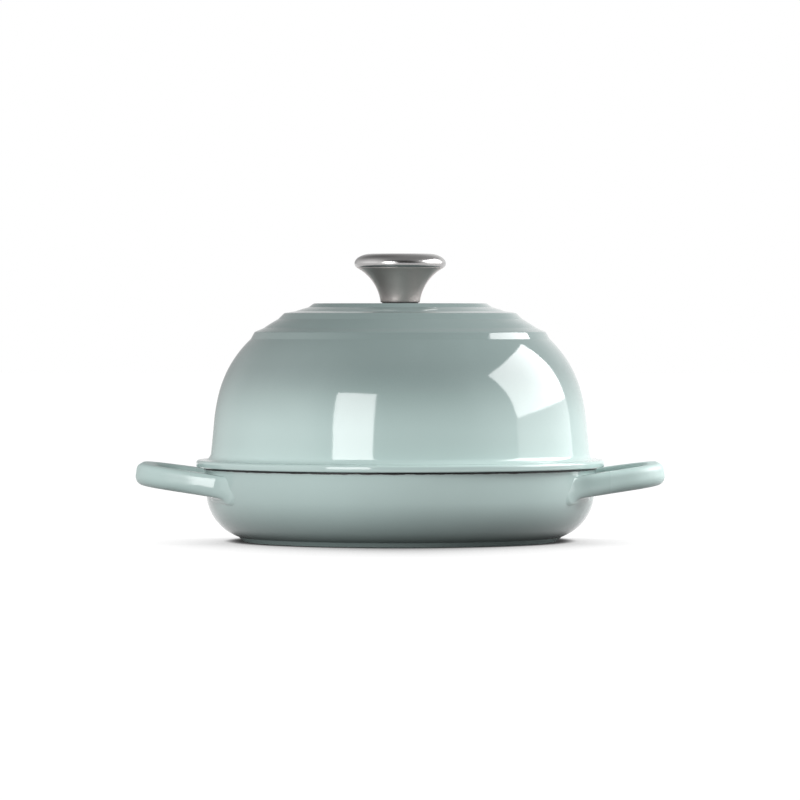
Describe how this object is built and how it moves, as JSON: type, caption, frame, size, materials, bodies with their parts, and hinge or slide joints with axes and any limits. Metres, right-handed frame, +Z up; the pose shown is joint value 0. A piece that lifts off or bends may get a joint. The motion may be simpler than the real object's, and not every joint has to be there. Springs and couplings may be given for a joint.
{
  "type": "bread cloche",
  "caption": "Round enamelled cast-iron bread cloche: a shallow pan with loop handles, and a tall domed lid that lifts off by a bolted-on steel knob.",
  "frame": {"origin": "centre of the plane that the pan's foot ring rests on", "axes": "+X towards one handle, +Z up through the knob"},
  "size_m": [0.323, 0.2502, 0.1762],
  "materials": {
    "enamelled_iron": "gloss",
    "gasket": "matte",
    "satin_steel": "satin",
    "fastener_steel": "satin"
  },
  "bodies": {
    "pan": {"pan": "enamelled_iron"},
    "lid": {"lid_dome": "enamelled_iron", "knob_gasket": "gasket", "knob_stem": "satin_steel", "knob_cap": "satin_steel", "knob_insert": "fastener_steel"},
    "washers": {"flat_washer": "fastener_steel", "spring_washer": "fastener_steel"},
    "bolt": {"lid_bolt": "fastener_steel"}
  },
  "joints": [
    {"name": "lid_lift", "type": "slide", "parent": "pan", "child": "lid", "axis": [0, 0, 1], "range_m": [0, 0.2]},
    {"name": "washer_drop", "type": "slide", "parent": "lid", "child": "washers", "axis": [0, 0, -1], "range_m": [0, 0.012]},
    {"name": "bolt_turn", "type": "hinge", "parent": "washers", "child": "bolt", "pos_m": [0, 0, 0.13881], "axis": [0, 0, -1], "range_deg": [0, 4320]}
  ],
  "couplings": [
    {"joint": "bolt_turn", "follows": "washer_drop", "rad_per_m": 6283.2}
  ]
}
